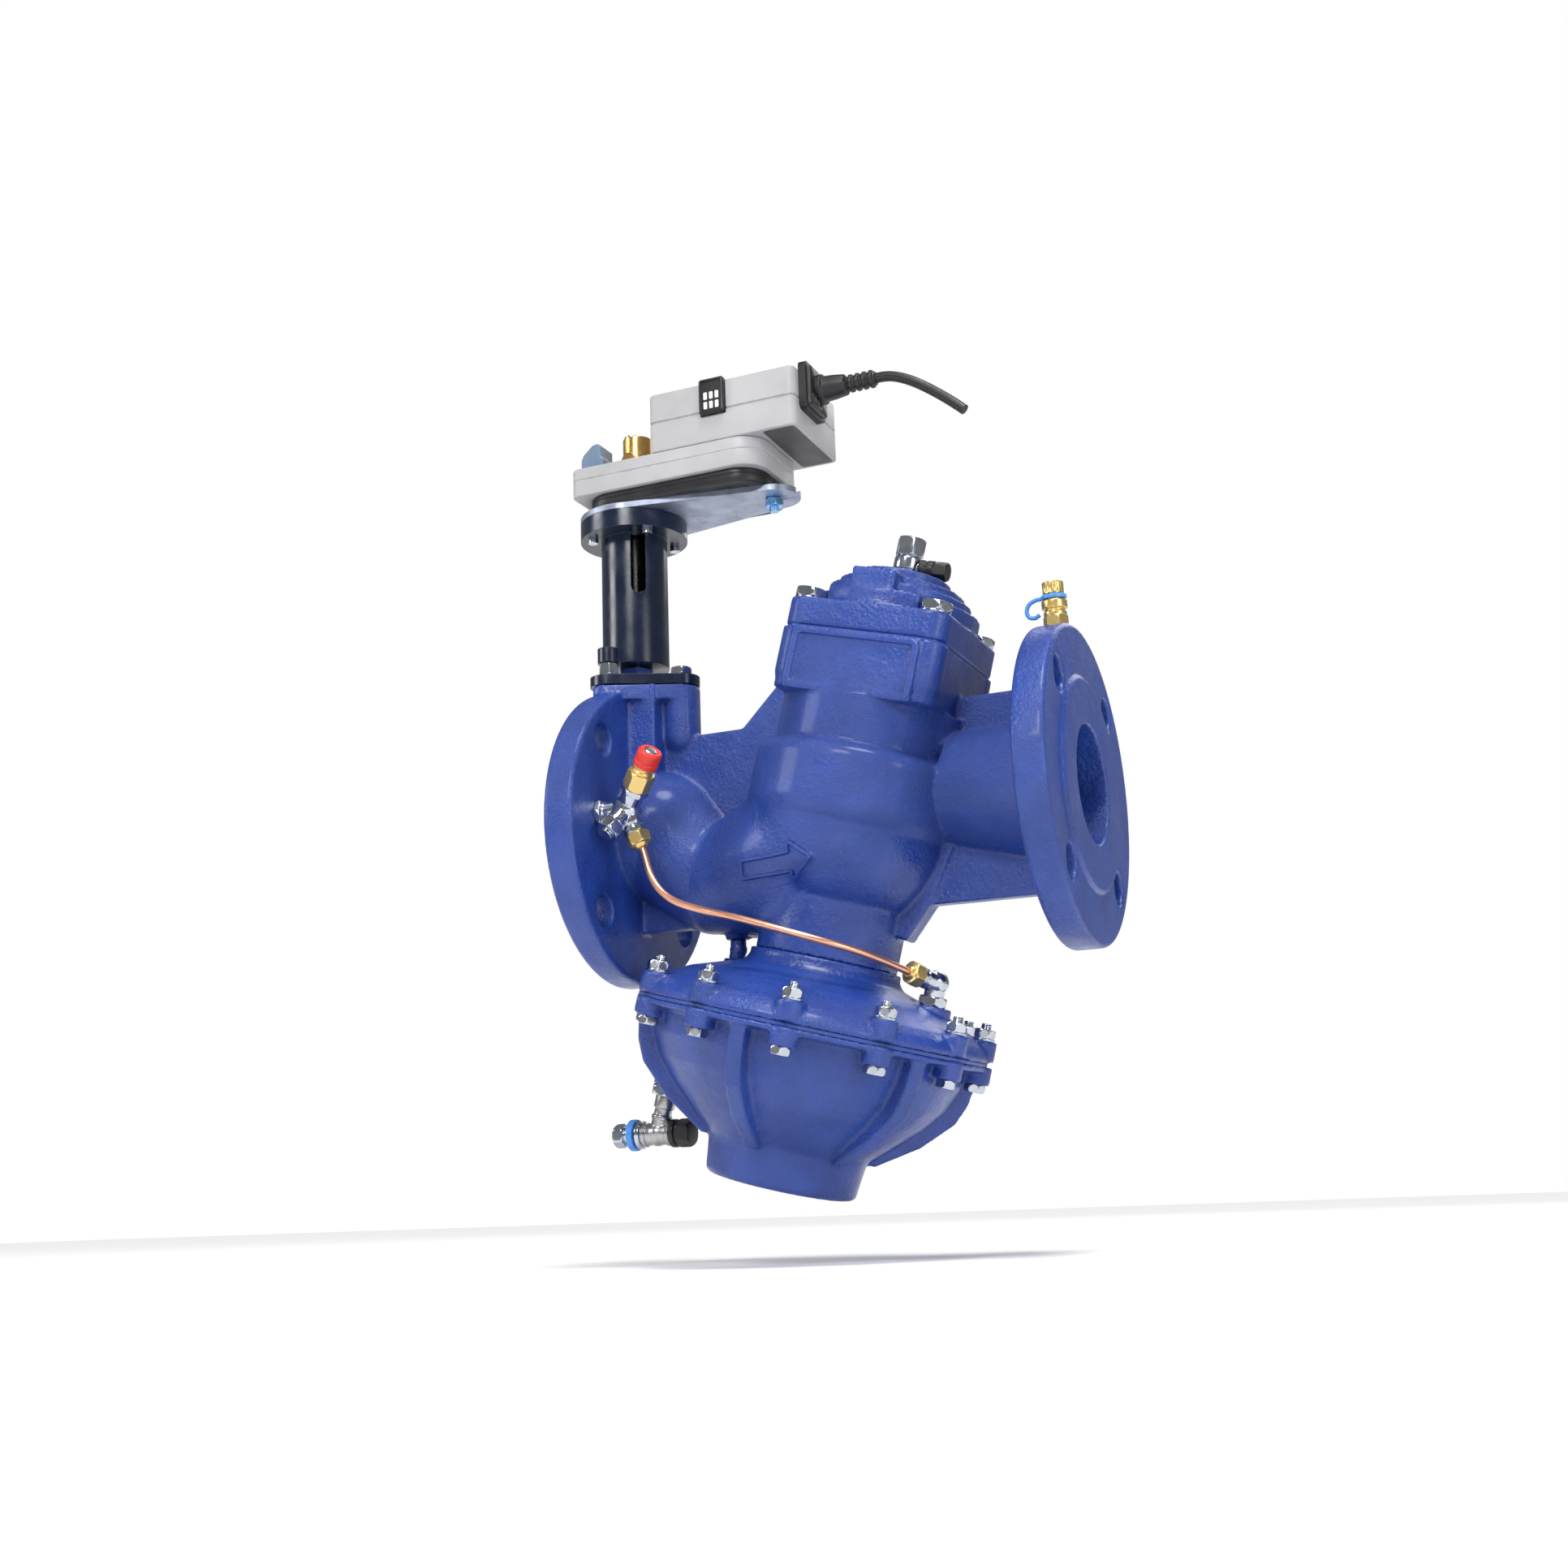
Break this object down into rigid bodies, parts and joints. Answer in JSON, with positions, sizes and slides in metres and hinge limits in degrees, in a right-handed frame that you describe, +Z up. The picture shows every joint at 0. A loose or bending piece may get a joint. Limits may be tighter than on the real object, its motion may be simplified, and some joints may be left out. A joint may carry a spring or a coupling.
{
  "type": "pressure independent control valve",
  "caption": "Flanged pressure independent control valve with a leaning diaphragm regulator, a turned control disc and a rotary electric actuator on an adapter tube.",
  "frame": {"origin": "centre of the inlet flange's raised face", "axes": "+X along the pipe from the inlet to the outlet, +Z up towards the actuator, -Y towards the viewer"},
  "size_m": [0.3065, 0.197, 0.4807],
  "materials": {
    "cast_blue": "semi-gloss paint over a rough casting",
    "stainless": "turned",
    "bronze": "turned",
    "packing": "matte",
    "rubber": "matte",
    "zinc": "zinc plated",
    "chrome": "nickel plated",
    "brass": "turned",
    "black_plastic": "moulded",
    "blue_strap": "moulded",
    "red_cap": "moulded",
    "copper": "drawn copper",
    "black_anodised": "black oxide",
    "steel_plate": "rolled sheet",
    "grey_housing": "moulded",
    "slate_plastic": "moulded",
    "yellow_zinc": "yellow passivated"
  },
  "bodies": {
    "root": {"valve_body": "cast_blue", "seat_ring": "stainless", "guide_bush": "bronze", "stem_packing": "packing", "bonnet_gasket": "rubber", "bonnet_cover": "cast_blue", "bonnet_bolts": "zinc", "vent_plug": "chrome", "vent_cap": "black_plastic", "outlet_test_point": "brass", "outlet_test_cap": "brass", "outlet_cap_strap": "blue_strap", "inlet_tee": "chrome", "inlet_test_point": "brass", "inlet_test_cap": "red_cap", "inlet_tee_plug": "chrome", "capillary_nuts": "brass", "capillary_tube": "copper", "capillary_elbow": "chrome", "impulse_elbow": "cast_blue", "diaphragm_cover": "cast_blue", "diaphragm_bowl": "cast_blue", "rim_bolts": "zinc", "rim_nuts": "zinc", "diaphragm": "rubber", "regulator_spring": "stainless", "drain_bush": "chrome", "drain_tee": "chrome", "drain_cap": "black_plastic", "drain_test_plug": "chrome", "drain_strap": "blue_strap", "gland_plate": "black_anodised", "gland_nut": "steel_plate", "gland_bolts": "zinc", "adapter_tube": "black_anodised", "tube_screws": "zinc", "bracket_plate": "steel_plate", "anti_rotation_bolt": "zinc", "actuator_base": "black_plastic", "lower_housing": "grey_housing", "upper_housing": "grey_housing", "connection_box": "black_plastic", "strain_relief": "black_plastic", "actuator_cable": "black_plastic", "end_stop": "slate_plastic"},
    "stem_body": {"stem": "stainless", "control_disc": "stainless", "stem_coupling": "stainless", "spindle_clamp": "yellow_zinc", "clamp_nuts": "yellow_zinc"},
    "button_body": {"release_button": "black_plastic"},
    "regulator_body": {"regulator_spindle": "stainless", "regulator_plug": "stainless", "diaphragm_plates": "stainless", "spindle_nut": "stainless"}
  },
  "joints": [
    {"name": "stem_turn", "type": "hinge", "parent": "root", "child": "stem_body", "pos_m": [0.016, 0, 0], "axis": [0, 0, 1], "range_deg": [0, 90]},
    {"name": "button_press", "type": "slide", "parent": "root", "child": "button_body", "axis": [0, 1, 0], "range_m": [0, 0.003], "stiffness_N_per_m": 400, "springref_m": -0.002},
    {"name": "regulator_slide", "type": "slide", "parent": "root", "child": "regulator_body", "axis": [0.2588, 0, 0.9659], "range_m": [-0.008, 0], "stiffness_N_per_m": 3000, "springref_m": 0.01, "deforming": ["regulator_spring", "diaphragm"]}
  ]
}
